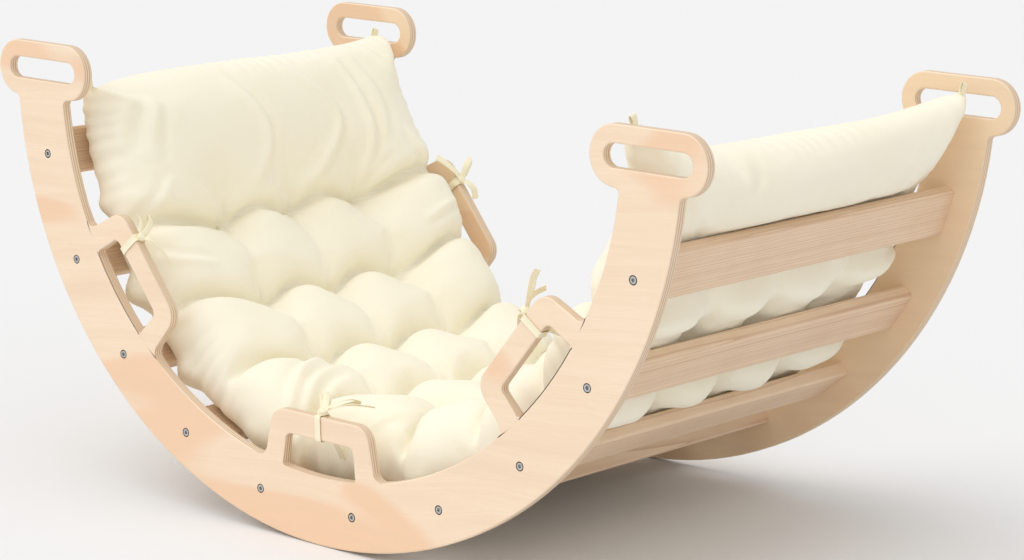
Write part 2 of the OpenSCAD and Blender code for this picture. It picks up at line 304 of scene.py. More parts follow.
def makePlywood(name, seed, face, faceWarm):
    material, tree, shader = newMaterial(name, Roughness=0.6, Specular_IOR_Level=0.35, Coat_Weight=0.06, Coat_Roughness=0.35)
    link = tree.links.new
    coordinates = addNode(tree, "ShaderNodeTexCoord", -1700, 300)
    parts = addNode(tree, "ShaderNodeSeparateXYZ", -1500, 300)
    link(coordinates.outputs["Object"], parts.inputs[0])
    # how deep in the board a point is, counted in layers
    away = maths(tree, "ABSOLUTE", parts.outputs["Y"], None, -1300, 300)
    depth = maths(tree, "MULTIPLY", maths(tree, "SUBTRACT", away, plyInner, -1150, 300),
                  plyFacts["layers"] / (plyOuter - plyInner), -1000, 300)
    layer = maths(tree, "FLOOR", depth, None, -850, 380)
    crossLayer = maths(tree, "MODULO", maths(tree, "ABSOLUTE", layer, None, -700, 440), 2.0, -550, 400)
    inLayer = maths(tree, "FRACT", depth, None, -850, 220)
    offCentre = maths(tree, "ABSOLUTE", maths(tree, "SUBTRACT", inLayer, 0.5, -700, 200), None, -550, 200)
    nearGlue = maths(tree, "SUBTRACT", 0.5, offCentre, -400, 200)
    glueRange = mapRange(tree, nearGlue, -250, 200, From_Min=0.0, From_Max=plyFacts["glue"], To_Min=1.0, To_Max=0.0)
    # whether the surface here is a face, or an edge, and which way the edge runs
    geometry = addNode(tree, "ShaderNodeNewGeometry", -1700, -100)
    normalParts = addNode(tree, "ShaderNodeSeparateXYZ", -1500, -100)
    link(geometry.outputs["Normal"], normalParts.inputs[0])
    flat = mapRange(tree, maths(tree, "ABSOLUTE", normalParts.outputs["Y"], None, -1300, -60), -1150, -60, From_Min=0.75, From_Max=0.97)
    alongX = maths(tree, "POWER", normalParts.outputs["X"], 2.0, -1300, -220)  # 1 where the edge cuts across X grain
    endShare = maths(tree, "ABSOLUTE", maths(tree, "SUBTRACT", crossLayer, alongX, -1000, -220), None, -850, -220)
    # grain of the face layers and of the cross layers
    faceGrain = placeGroup(tree, woodGrain, -600, 0, Line_Spacing=0.011, Waviness=2.6, Pith_Depth=0.16, Seed=seed)
    link(objectVector(tree, 4.0, (0.3, 0.0, 0.0), "X", -1500, -400), faceGrain.inputs["Vector"])
    crossGrain = placeGroup(tree, woodGrain, -600, -300, Line_Spacing=0.006, Waviness=0.6, Pith_Depth=0.1, Seed=seed + 5)
    link(objectVector(tree, 0.0, (0.1, 0.0, 0.2), "Z", -1500, -650), crossGrain.inputs["Vector"])
    # warm heartwood patches with soft curved borders
    patchMap = addNode(tree, "ShaderNodeMapping", -900, 700)
    patchMap.inputs["Scale"].default_value = (2.1, 1.0, 5.2)
    patchMap.inputs["Location"].default_value = (seed, 0.0, 0.4)
    link(coordinates.outputs["Object"], patchMap.inputs["Vector"])
    patches = addNode(tree, "ShaderNodeTexNoise", -700, 700)
    setInputs(patches, Scale=1.15, Detail=1.5, Roughness=0.45, Distortion=0.7)
    link(patchMap.outputs[0], patches.inputs["Vector"])
    patchRange = mapRange(tree, patches.outputs["Fac"], -500, 700, From_Min=0.555, From_Max=0.60, smooth=True)
    # colours
    faceColour = mixColour(tree, patchRange.outputs[0], face, faceWarm, -250, 600)
    streakAmount = mapRange(tree, faceGrain.outputs["Streaks"], -300, 60, From_Min=0.45, From_Max=0.8, To_Max=0.5)
    faceColour = mixColour(tree, streakAmount.outputs[0], faceColour, plyFacts["streak"], -50, 500)
    faceColour = tint(tree, faceColour, faceGrain.outputs["Lines"], 0.16, plyFacts["streak"], 120, 460)
    faceColour = tint(tree, faceColour, faceGrain.outputs["Pores"], 0.22, plyFacts["streak"], 280, 420)
    edgeColour = mixColour(tree, endShare, plyFacts["edgeLong"], plyFacts["edgeEnd"], -250, -300)
    edgeColour = tint(tree, edgeColour, crossGrain.outputs["Streaks"], 0.1, plyFacts["streak"], -50, -300)
    edgeColour = tint(tree, edgeColour, glueRange.outputs[0], 0.55, plyFacts["glueLine"], 120, -260)
    colour = mixColour(tree, flat.outputs[0], edgeColour, faceColour, 460, 200)
    wear = placeGroup(tree, handling, 200, -600, Size=9.0, Seed=seed)
    link(coordinates.outputs["Object"], wear.inputs["Vector"])
    colour = tint(tree, colour, wear.outputs["Mask"], 0.07, plyFacts["streak"], 640, 200)
    link(colour, shader.inputs["Base Color"])
    gloss = mapRange(tree, wear.outputs["Gloss"], 600, -500, To_Min=0.5, To_Max=0.68)
    link(gloss.outputs[0], shader.inputs["Roughness"])
    bump = setInputs(addNode(tree, "ShaderNodeBump", 640, -250), Strength=0.12, Distance=0.0004)
    glueDip = maths(tree, "MULTIPLY", glueRange.outputs[0], -0.8, 300, -200)
    link(maths(tree, "ADD", faceGrain.outputs["Height"], glueDip, 460, -200), bump.inputs["Height"])
    link(bump.outputs[0], shader.inputs["Normal"])
    return material


panelFacts = {"rounding": 0.0019, "steps": 3, "merge": 0.00002, "crispRound": 0.026, "smoothAngle": 40,
              "loops": [-51.4, 0.0, 51.4], "footRadius": 0.420, "footReach": 13.5}


def makePanel(name, node, seed, face, faceWarm):
    # The CAD panel with its arrises rounded over by narrow insets, except at the screw and dowel holes.
    piece = bpy.data.objects.new(name, nodes[node].data.copy())
    bpy.context.collection.objects.link(piece)
    selectOnly(piece)
    bpy.ops.object.mode_set(mode="EDIT")
    bpy.ops.mesh.select_all(action="SELECT")
    bpy.ops.mesh.remove_doubles(threshold=panelFacts["merge"])
    bpy.ops.mesh.select_all(action="DESELECT")
    bpy.ops.mesh.select_mode(type="FACE")
    bpy.ops.object.mode_set(mode="OBJECT")
    mesh = piece.data
    if mesh.has_custom_normals:
        bpy.ops.mesh.customdata_custom_splitnormals_clear()
    # both faces sink by the rounding, then rise again step by step
    points = readPoints(mesh)
    low, high = points[:, 1].min(), points[:, 1].max()
    rounding = panelFacts["rounding"]
    points[:, 1] = np.clip(points[:, 1], low + rounding, high - rounding)
    writePoints(mesh, points)
    for polygon in mesh.polygons:
        middle = polygon.center.y
        polygon.select = bool(abs(polygon.normal.y) > 0.9 and (middle < low + 0.003 or middle > high - 0.003))
    for step in range(panelFacts["steps"]):
        near, far = (math.pi / 2 * (step + k) / panelFacts["steps"] for k in (0, 1))
        bpy.ops.object.mode_set(mode="EDIT")
        bpy.ops.mesh.inset(thickness=rounding * (math.cos(near) - math.cos(far)), depth=0,
                           use_boundary=True, use_even_offset=False)
        bpy.ops.object.mode_set(mode="OBJECT")
        points = readPoints(mesh)
        raised = np.zeros(len(points), bool)
        raised[[index for polygon in mesh.polygons if polygon.select for index in polygon.vertices]] = True
        level = rounding * (1 - math.sin(far))
        points[raised, 1] = np.where(points[raised, 1] > (low + high) / 2, high - level, low + level)
        writePoints(mesh, points)
    flat = {key for polygon in mesh.polygons if polygon.select for key in polygon.edge_keys}
    rest = {key for polygon in mesh.polygons if not polygon.select for key in polygon.edge_keys}
    # the holes keep their crisp edges
    points = readPoints(mesh)
    for hole in (onArch(a, 0.461) for a in slatAngles):
        close = np.hypot(points[:, 0] - hole.x, points[:, 2] - hole.z) < panelFacts["crispRound"]
        points[close & (points[:, 1] < low + rounding + 0.00001), 1] = low
        points[close & (points[:, 1] > high - rounding - 0.00001), 1] = high
    # and so do the feet of the grip loops, where the outline is too tight for a rounding
    angles, radii, _ = toArch(points)
    foot = (np.abs(radii - panelFacts["footRadius"]) < 0.008) & (
        np.min([np.abs(angles - loop) for loop in panelFacts["loops"]], axis=0) < panelFacts["footReach"])
    points[foot & (points[:, 1] < low + rounding + 0.00001), 1] = low
    points[foot & (points[:, 1] > high - rounding - 0.00001), 1] = high
    writePoints(mesh, points)
    bpy.ops.object.shade_smooth_by_angle(angle=math.radians(panelFacts["smoothAngle"]))
    for edge in mesh.edges:
        if edge.key in flat and edge.key in rest:
            edge.use_edge_sharp = True
    for polygon in mesh.polygons:
        if abs(polygon.normal.y) > 0.999:
            polygon.use_smooth = False
    giveMaterial(piece, makePlywood(name + "Ply", seed, face, faceWarm))
    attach(piece, "root")
    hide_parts(node)
    return piece


makePanel("frontArchPanel", "front_side_panel", 1.3, plyFacts["face"], plyFacts["faceWarm"])
# the back panel takes the darker, yellower face colours, painted shade for its inner face
makePanel("backArchPanel", "back_side_panel", 7.9, plyFacts["backFace"], plyFacts["backWarmPaintedShade"])
print("arch panels done")


pineFacts = {
    "early": (0.84, 0.625, 0.44), "late": (0.58, 0.345, 0.205), "pale": (0.90, 0.715, 0.52), "spacing": 0.0026,
}


def makePine(name, angle, seed):
    material, tree, shader = newMaterial(name, Roughness=0.55, Specular_IOR_Level=0.35)
    link = tree.links.new
    vector = objectVector(tree, angle, (0.013 * (seed % 3) - 0.01, 0.31 * seed, 0.0), "Y")
    grain = placeGroup(tree, woodGrain, -700, 0, Line_Spacing=pineFacts["spacing"] * (0.85 + 0.08 * (seed % 5)),
                       Waviness=0.28, Pith_Depth=-0.02, Seed=seed * 3.7)
    link(vector, grain.inputs["Vector"])
    colour = mixColour(tree, grain.outputs["Streaks"], pineFacts["pale"], pineFacts["early"], -350, 200)
    colour = tint(tree, colour, grain.outputs["Lines"], 0.7, pineFacts["late"], -100, 200)
    colour = tint(tree, colour, grain.outputs["Pores"], 0.25, pineFacts["late"], 100, 200)
    wear = placeGroup(tree, handling, -200, -400, Size=11.0, Seed=seed * 1.9)
    link(vector, wear.inputs["Vector"])
    colour = tint(tree, colour, wear.outputs["Mask"], 0.12, pineFacts["late"], 350, 200)
    link(colour, shader.inputs["Base Color"])
    gloss = mapRange(tree, wear.outputs["Gloss"], 300, -400, To_Min=0.48, To_Max=0.66)
    link(gloss.outputs[0], shader.inputs["Roughness"])
    bump = setInputs(addNode(tree, "ShaderNodeBump", 500, -200), Strength=0.18, Distance=0.0004)
    link(grain.outputs["Height"], bump.inputs["Height"])
    link(bump.outputs[0], shader.inputs["Normal"])
    return material


for number, angle in enumerate(slatAngles, 1):
    giveMaterial(nodes[f"slat_{number}"], makePine(f"pineSlat{number}", angle, float(number)))
print("slats done")


def makeSteel():
    material, tree, shader = newMaterial("screwSteel", Metallic=1.0, Roughness=0.3)
    link = tree.links.new
    coordinates = addNode(tree, "ShaderNodeTexCoord", -900, 0)
    wear = placeGroup(tree, handling, -600, 0, Size=420.0, Seed=2.0)
    link(coordinates.outputs["Object"], wear.inputs["Vector"])
    link(mixColour(tree, wear.outputs["Mask"], (0.62, 0.62, 0.61), (0.44, 0.44, 0.45), -200, 100), shader.inputs["Base Color"])
    gloss = mapRange(tree, wear.outputs["Gloss"], -200, -200, To_Min=0.22, To_Max=0.42)
    link(gloss.outputs[0], shader.inputs["Roughness"])
    return material


def makeBeech():
    material, tree, shader = newMaterial("beechDowel", Roughness=0.6)
    link = tree.links.new
    grain = placeGroup(tree, woodGrain, -600, 0, Line_Spacing=0.0016, Waviness=0.2, Pith_Depth=0.03, Seed=4.0)
    link(objectVector(tree, 0, (0, 0, 0), "Y"), grain.inputs["Vector"])
    colour = mixColour(tree, grain.outputs["Lines"], (0.74, 0.52, 0.33), (0.55, 0.34, 0.2), -200, 100)
    link(tint(tree, colour, grain.outputs["Pores"], 0.4, (0.45, 0.27, 0.16), 0, 100), shader.inputs["Base Color"])
    bump = setInputs(addNode(tree, "ShaderNodeBump", 300, -200), Strength=0.2, Distance=0.0004)
    link(grain.outputs["Height"], bump.inputs["Height"])
    link(bump.outputs[0], shader.inputs["Normal"])
    return material


steel, beech = makeSteel(), makeBeech()
for node in ("front_screws", "back_screws"):
    giveMaterial(nodes[node], steel)
for node in ("front_dowels", "back_dowels"):
    giveMaterial(nodes[node], beech)
print("screws and dowels done")


clothFacts = {
    "lit": (0.965, 0.918, 0.77), "shade": (0.92, 0.855, 0.655), "thread": 0.00045,
    "tape": (0.95, 0.89, 0.67), "tapeShade": (0.90, 0.815, 0.575),
}


def makeWeave():
    # Plain weave over and under, with thicker slubs here and there; the vector is in metres.
    group, feed, result = newGroup("clothWeave", [
        ("Vector", "NodeSocketVector", None), ("Thread", "NodeSocketFloat", 0.0005), ("Seed", "NodeSocketFloat", 0.0)],
        [("Weave", "NodeSocketFloat"), ("Slubs", "NodeSocketFloat"), ("Height", "NodeSocketFloat")])
    link = group.links.new
    parts = addNode(group, "ShaderNodeSeparateXYZ", -950, 0)
    link(feed.outputs["Vector"], parts.inputs[0])
    across = maths(group, "DIVIDE", parts.outputs["X"], feed.outputs["Thread"], -780, 100)
    along = maths(group, "DIVIDE", parts.outputs["Y"], feed.outputs["Thread"], -780, -100)
    warp = maths(group, "SINE", maths(group, "MULTIPLY", across, math.pi, -620, 100), None, -460, 100)
    weft = maths(group, "SINE", maths(group, "MULTIPLY", along, math.pi, -620, -100), None, -460, -100)
    weave = maths(group, "ADD", maths(group, "MULTIPLY", maths(group, "MULTIPLY", warp, weft, -300, 0), 0.5, -150, 0), 0.5, 0, 0)
    slubSum = None
    for scale, y in (((60, 1700, 1), 350), ((1700, 60, 1), -350)):
        mapping = addNode(group, "ShaderNodeMapping", -950, y)
        mapping.inputs["Scale"].default_value = scale
        link(feed.outputs["Vector"], mapping.inputs["Vector"])
        slub = addNode(group, "ShaderNodeTexNoise", -760, y, noise_dimensions="4D")
        setInputs(slub, Scale=1.0, Detail=2.0, Roughness=0.6)
        link(mapping.outputs[0], slub.inputs["Vector"])
        link(feed.outputs["Seed"], slub.inputs["W"])
        slubSum = slub.outputs["Fac"] if slubSum is None else maths(group, "ADD", slubSum, slub.outputs["Fac"], -400, y)
    slubs = mapRange(group, slubSum, -100, -300, From_Min=0.85, From_Max=1.35)
    link(weave, result.inputs["Weave"])
    link(slubs.outputs[0], result.inputs["Slubs"])
    link(maths(group, "ADD", weave, maths(group, "MULTIPLY", slubs.outputs[0], 0.8, 200, -300), 400, -100), result.inputs["Height"])
    return group


clothWeave = makeWeave()


def makeCloth(name, lit, shade, seed, thread, tape=False):
    material, tree, shader = newMaterial(name, Roughness=0.85, Specular_IOR_Level=0.25, Sheen_Weight=0.18, Sheen_Roughness=0.5)
    link = tree.links.new
    coordinates = addNode(tree, "ShaderNodeTexCoord", -1300, 0)
    weave = placeGroup(tree, clothWeave, -1000, 100, Thread=thread, Seed=seed)
    link(coordinates.outputs["UV"], weave.inputs["Vector"])
    wear = placeGroup(tree, handling, -1000, -250, Size=7.0, Seed=seed)
    link(coordinates.outputs["Object"], wear.inputs["Vector"])
    colour = tint(tree, lit, wear.outputs["Mask"], 0.5, shade, -450, 100)
    colour = tint(tree, colour, weave.outputs["Slubs"], 0.22, shade, -250, 100)
    colour = tint(tree, colour, weave.outputs["Weave"], 0.12, shade, -50, 100)
    height = weave.outputs["Height"]
    if tape:
        # a woven edge along each side of the tape, darker and raised
        parts = addNode(tree, "ShaderNodeSeparateXYZ", -1000, 420)
        link(coordinates.outputs["UV"], parts.inputs[0])
        edge = maths(tree, "ABSOLUTE", parts.outputs["Y"], None, -820, 420)
        border = mapRange(tree, edge, -640, 420, From_Min=0.0031, From_Max=0.0036)
        colour = tint(tree, colour, border.outputs[0], 0.45, shade, 120, 150)
        height = maths(tree, "ADD", height, border.outputs[0], 0, -100)
    link(colour, shader.inputs["Base Color"])
    gloss = mapRange(tree, wear.outputs["Gloss"], 200, -300, To_Min=0.78, To_Max=0.93)
    link(gloss.outputs[0], shader.inputs["Roughness"])
    bump = setInputs(addNode(tree, "ShaderNodeBump", 560, -200), Strength=0.16, Distance=0.0003)
    link(height, bump.inputs["Height"])
    if not tape:
        # small soft puckers that the mesh is too coarse to hold
        pucker = setInputs(addNode(tree, "ShaderNodeTexNoise", 100, -500), Scale=34.0, Detail=3.0, Roughness=0.55, Distortion=0.6)
        link(coordinates.outputs["Object"], pucker.inputs["Vector"])
        soft = setInputs(addNode(tree, "ShaderNodeBump", 380, -420), Strength=0.22, Distance=0.002)
        link(pucker.outputs["Fac"], soft.inputs["Height"])
        link(soft.outputs[0], bump.inputs["Normal"])
    link(bump.outputs[0], shader.inputs["Normal"])
    return material


cotton = makeCloth("creamCotton", clothFacts["lit"], clothFacts["shade"], 3.0, clothFacts["thread"])
tapeCloth = makeCloth("cottonTape", clothFacts["tape"], clothFacts["tapeShade"], 6.0, 0.0006, tape=True)
threadCloth = makeCloth("cottonThread", clothFacts["tape"], clothFacts["tapeShade"], 9.0, 0.0003, tape=True)
print("cloth materials done")

cushionFacts = {
    "halfAngle": 87.5, "halfWidth": 0.247, "seamRadius": 0.410,
    "rows": [-58.45, -41.75, -25.05, -8.35, 8.35, 25.05, 41.75, 58.45], "columns": [-0.111, 0.0, 0.111],
    "stepsPerPitch": 18, "columnSteps": 16, "tuftTop": 0.396, "tuftBottom": 0.442,
    "crest": 0.359, "belly": 0.446, "rowValley": 0.034, "columnValley": 0.006, "shoulder": 0.055,
    "headCrest": 0.368, "tieValley": 0.022,
    "pressure": 3.0, "slack": -0.03, "looseSlack": -0.11, "frames": 22, "mass": 0.05, "stiffness": 12, "bending": 0.06,
    "swell": 0.017, "gather": 0.019, "rowArch": 2.2, "rowArchOuter": 3.4, "valleyWidth": 0.013,
    "ears": {(-1, -1): (-86.3, 0.410, -0.251), (-1, 1): (-88.2, 0.426, 0.252),
             (1, -1): (92.6, 0.412, -0.251), (1, 1): (90.9, 0.473, 0.254)},
}
tieAngles = [-57.5, 0.0, 57.5]  # where a tie holds the side seam to a grip loop


def cushionGrid():
    facts = cushionFacts
    step = (facts["rows"][1] - facts["rows"][0]) / facts["stepsPerPitch"]
    count = int(facts["halfAngle"] / step)
    angles = [k * step for k in range(-count, count + 1)]
    angles[0], angles[-1] = -facts["halfAngle"], facts["halfAngle"]
    stepY = facts["columns"][2] / facts["columnSteps"]
    across = int(facts["halfWidth"] / stepY)
    widths = [-facts["halfWidth"]] + [k * stepY for k in range(-across, across + 1)] + [facts["halfWidth"]]
    return np.array(angles), np.array(widths)


def seamLine(angles):
    # Radius of the seam: the head ends lean out over the top slats, the right one more.
    end = np.clip((np.abs(angles) - 66.0) / 21.5, 0, 1) ** 1.5
    return cushionFacts["seamRadius"] + np.where(angles > 0, 0.040, 0.012) * end


def rowArch(y):
    # How far, in degrees, a row's valley arches away from the middle of the cushion between its tufts.
    size = np.abs(y)
    inner = cushionFacts["rowArch"] * np.sin(np.pi * np.clip(size / 0.111, 0, 1)) ** 2
    outer = cushionFacts["rowArchOuter"] * np.sin(np.pi / 2 * np.clip((size - 0.111) / 0.11, 0, 1)) ** 2
    return np.where(size < 0.111, inner, outer)


def puffShape(a, y):
    # Distances to the nearest row valley, column and tuft, and how far a point is inside the tufted part.
    facts = cushionFacts
    arcStep = math.radians(1) * 0.4047
    arch = rowArch(y)
    toRow = np.min([np.abs(a - r - np.sign(r) * arch) for r in facts["rows"]], axis=0) * arcStep
    toColumn = np.min([np.abs(y - c) for c in facts["columns"]], axis=0)
    tufted = np.clip((63.5 - np.abs(a)) / 4.0, 0, 1)
    away = np.hypot(np.min([np.abs(a - r) for r in facts["rows"]], axis=0) * arcStep, toColumn)
    return toRow, toColumn, away, tufted


def makeCushionMesh():
    facts = cushionFacts
    angles, widths = cushionGrid()
    rows, columns = len(angles), len(widths)
    bpy.ops.mesh.primitive_grid_add(x_subdivisions=rows - 1, y_subdivisions=columns - 1, size=1)
    piece = bpy.context.object
    piece.name = "tuftedCushion"
    bpy.ops.object.mode_set(mode="EDIT")
    bpy.ops.mesh.select_all(action="SELECT")
    bpy.ops.mesh.extrude_region_move(TRANSFORM_OT_translate={"value": (0, 0, 1)})
    bpy.ops.object.mode_set(mode="OBJECT")
    points = readPoints(piece.data)
    column = np.rint((points[:, 0] + 0.5) * (rows - 1)).astype(int)
    row = np.rint((points[:, 1] + 0.5) * (columns - 1)).astype(int)
    top = points[:, 2] > 0.5
    a, y = angles[column], widths[row]
    arcStep = math.radians(1) * 0.4047
    fromEnd = (facts["halfAngle"] - np.abs(a)) * math.radians(1) * 0.4047
    fromSide = facts["halfWidth"] - np.abs(y)
    share = np.clip(np.minimum(fromEnd, fromSide) / facts["shoulder"], 0, 1)
    roundness = np.sqrt(share * (2 - share))
    seam = seamLine(a)
    toRow, toColumn, away, tufted = puffShape(a, y)
    rowDip = facts["rowValley"] * np.exp(-(toRow / facts["valleyWidth"]) ** 1.2) * tufted
    columnDip = facts["columnValley"] * np.exp(-(toColumn / 0.02) ** 1.5) * tufted
    tuftDip = np.exp(-(away / 0.022) ** 1.4)
    head = np.clip((np.abs(a) - 60) / 8, 0, 1)
    crest = facts["crest"] + (facts["headCrest"] - facts["crest"]) * head + (seam - facts["seamRadius"]) + rowDip + columnDip
    atTieRow = np.exp(-((np.abs(a) - 58.45 - rowArch(y)) * arcStep / 0.015) ** 2) * np.clip((np.abs(y) - 0.13) / 0.09, 0, 1)
    crest = crest + facts["tieValley"] * atTieRow
    crest = crest + np.clip(facts["tuftTop"] - crest, 0, 1) * tuftDip
    belly = facts["belly"] + (seam - facts["seamRadius"])
    belly = belly - (belly - facts["tuftBottom"]) * tuftDip
    radius = np.where(top, seam + (crest - seam) * roundness, seam + (belly - seam) * roundness)
    radius = np.maximum(radius, facts["crest"] - 0.004)
    start = fromArch(a, radius, y)
    for (end, side), ear in facts["ears"].items():
        cornerAngle = np.array([end * facts["halfAngle"]])
        corner = fromArch(cornerAngle, seamLine(cornerAngle), np.array([side * facts["halfWidth"]]))[0]
        target = fromArch(np.array([ear[0]]), np.array([ear[1]]), np.array([ear[2]]))[0]
        away = np.linalg.norm(start - corner, axis=1)
        start = start + np.exp(-(away / 0.06) ** 1.5)[:, None] * (target - corner)
    writePoints(piece.data, start)
    selectOnly(piece)
    bpy.ops.object.mode_set(mode="EDIT")
    bpy.ops.mesh.select_all(action="SELECT")
    bpy.ops.mesh.remove_doubles(threshold=0.00005)
    bpy.ops.object.mode_set(mode="OBJECT")
    return piece


def cutUv(piece):
    # The cloth's own flat measure, in metres, for its weave.
    a, r, y = toArch(readPoints(piece.data))
    flat = piece.data.uv_layers.active or piece.data.uv_layers.new(name="clothCut")
    place = np.zeros(len(piece.data.loops), np.int32)
    piece.data.loops.foreach_get("vertex_index", place)
    flat.data.foreach_set("uv", np.stack([np.radians(a[place]) * 0.4047, y[place]], -1).astype(np.float32).ravel())


def holdPoints(piece):
    # The stitched tufts, the tied points of the seam and the ears stay where they are.
    facts = cushionFacts
    points = readPoints(piece.data)
    a, r, y = toArch(points)
    toRow, toColumn, away, tufted = puffShape(a, y)
    held = away < 0.004
    for tie in tieAngles:
        held |= (np.abs(y) > facts["halfWidth"] - 0.0005) & (np.abs(a - tie) * math.radians(1) * 0.41 < 0.012)
    for ear in facts["ears"].values():
        tip = fromArch(np.array([ear[0]]), np.array([ear[1]]), np.array([ear[2]]))[0]
        held |= np.linalg.norm(points - tip, axis=1) < 0.004
    group = piece.vertex_groups.new(name="held")
    group.add([int(i) for i in np.nonzero(held)[0]], 1.0, "REPLACE")
    # the cover is looser on the heads, along the sides and round the ties
    loose = 0.75 * np.clip((np.abs(a) - 60) / 10, 0, 1) + 0.4 * np.clip((np.abs(y) - 0.15) / 0.08, 0, 1)
    for tie in tieAngles:
        away = np.hypot(np.radians(a - tie) * 0.41, np.abs(y) - facts["halfWidth"])
        loose = loose + np.exp(-(away / 0.05) ** 2)
    loose = np.clip(loose, 0, 1)
    group = piece.vertex_groups.new(name="loose")
    for index, weight in enumerate(loose):
        group.add([index], float(weight), "REPLACE")


def makeStops():
    # Copies of the slats that the cloth can't pass.
    stops = []
    for number in range(1, len(slatAngles) + 1):
        stop = bpy.data.objects.new(f"slatStop{number}", nodes[f"slat_{number}"].data.copy())
        bpy.context.collection.objects.link(stop)
        stop.modifiers.new("stop", "COLLISION")
        stop.collision.thickness_outer = 0.001
        stop.collision.cloth_friction = 5
        stops.append(stop)
    return stops


def inflate(piece):
    facts = cushionFacts
    cloth = piece.modifiers.new("cloth", "CLOTH")
    settings = cloth.settings
    settings.quality = 6
    settings.mass = facts["mass"]
    settings.air_damping = 1.0
    settings.tension_stiffness = facts["stiffness"]
    settings.compression_stiffness = facts["stiffness"]
    settings.shear_stiffness = facts["stiffness"] * 0.3
    settings.bending_stiffness = facts["bending"]
    settings.tension_damping = settings.compression_damping = settings.shear_damping = 4
    settings.bending_damping = 0.5
    settings.use_pressure = True
    settings.uniform_pressure_force = facts["pressure"]
    settings.vertex_group_shrink = "loose"
    settings.shrink_min = facts["slack"]
    settings.shrink_max = facts["looseSlack"]
    settings.vertex_group_mass = "held"
    settings.pin_stiffness = 50
    settings.effector_weights.gravity = 0
    cloth.collision_settings.use_collision = True
    cloth.collision_settings.distance_min = 0.001
    cloth.collision_settings.use_self_collision = False
    cloth.point_cache.frame_start = 1
    cloth.point_cache.frame_end = facts["frames"]
    scene = bpy.context.scene
    for step in range(1, facts["frames"] + 1):
        scene.frame_set(step)
    selectOnly(piece)
    bpy.ops.object.modifier_apply(modifier=cloth.name)
    scene.frame_set(1)


# long soft folds of the cover: the line each follows, as angle and width, then its breadth and height
folds = [
    ([(-85.0, -0.071), (-77.2, -0.040), (-69.8, -0.038), (-62.8, -0.073)], 0.009, 0.0055),
    ([(-86.0, 0.032), (-75.0, 0.090), (-65.6, 0.056), (-61.1, 0.012)], 0.008, 0.0055),
    ([(-86.4, 0.124), (-74.2, 0.140), (-67.0, 0.137), (-60.4, 0.110)], 0.007, 0.006),
    ([(-85.5, 0.150), (-76.0, 0.168), (-68.0, 0.160)], 0.008, 0.003),
    ([(-84.0, -0.222), (-78.2, -0.232), (-73.8, -0.236)], 0.008, 0.005),
    ([(-83.5, -0.190), (-77.0, -0.204), (-70.8, -0.206)], 0.009, 0.004),
    ([(-87.0, 0.190), (-83.2, 0.209), (-79.0, 0.228)], 0.006, 0.004),
    ([(-66.0, -0.165), (-62.0, -0.130), (-59.6, -0.115)], 0.006, 0.003),
    ([(-66.5, 0.165), (-63.0, 0.133), (-60.0, 0.115)], 0.006, 0.003),
    ([(-14.0, -0.238), (-19.5, -0.190), (-22.6, -0.135), (-23.6, -0.085)], 0.007, 0.005),
    ([(-9.0, -0.240), (-14.8, -0.200), (-17.6, -0.150), (-18.2, -0.105)], 0.006, 0.0045),
    ([(-4.5, -0.240), (-9.6, -0.212), (-12.6, -0.178), (-13.6, -0.140)], 0.006, 0.004),
    ([(3.5, -0.238), (7.4, -0.205), (9.6, -0.165)], 0.006, 0.004),
    ([(5.5, -0.238), (11.5, -0.215), (15.0, -0.180)], 0.007, 0.004),
    ([(-4.0, 0.240), (-9.8, 0.205), (-13.4, 0.160)], 0.006, 0.004),
    ([(4.0, 0.240), (8.8, 0.200), (12.4, 0.155)], 0.006, 0.004),
    ([(-54.5, -0.242), (-51.5, -0.215), (-49.0, -0.175)], 0.006, 0.004),
    ([(-52.5, 0.242), (-50.5, 0.205), (-48.6, 0.165)], 0.006, 0.0035),
    ([(-60.5, -0.240), (-63.5, -0.212), (-68.0, -0.190)], 0.007, 0.004),
    ([(-61.5, 0.240), (-65.5, 0.215), (-70.0, 0.200)], 0.006, 0.004),
    ([(54.5, -0.242), (51.5, -0.212), (49.0, -0.170)], 0.006, 0.004),
    ([(54.0, 0.242), (51.0, 0.208), (48.6, 0.165)], 0.006, 0.0035),
    ([(60.5, -0.240), (64.5, -0.210), (70.0, -0.192)], 0.007, 0.004),
    ([(61.0, 0.240), (65.0, 0.214), (69.0, 0.196)], 0.007, 0.004),
    ([(84.5, -0.060), (77.0, -0.034), (69.5, -0.040), (62.8, -0.080)], 0.009, 0.005),
    ([(85.0, 0.050), (76.0, 0.082), (68.0, 0.074), (61.2, 0.030)], 0.008, 0.005),
    ([(85.5, -0.150), (77.0, -0.132), (69.0, -0.128), (61.0, -0.112)], 0.008, 0.005),
    ([(84.5, 0.196), (78.0, 0.168), (70.0, 0.150)], 0.008, 0.004),
]


def alongLine(points, samples=28):
    # A smooth line through the points, as even samples.
    points = np.array([points[0]] + list(points) + [points[-1]], float)
    line = []
    for index in range(1, len(points) - 2):
        p0, p1, p2, p3 = points[index - 1:index + 3]
        for t in np.linspace(0, 1, samples, endpoint=False):
            line.append(0.5 * (2 * p1 + (p2 - p0) * t + (2 * p0 - 5 * p1 + 4 * p2 - p3) * t * t
                               + (3 * p1 - p0 - 3 * p2 + p3) * t ** 3))
    return np.array(line + [points[-2]])


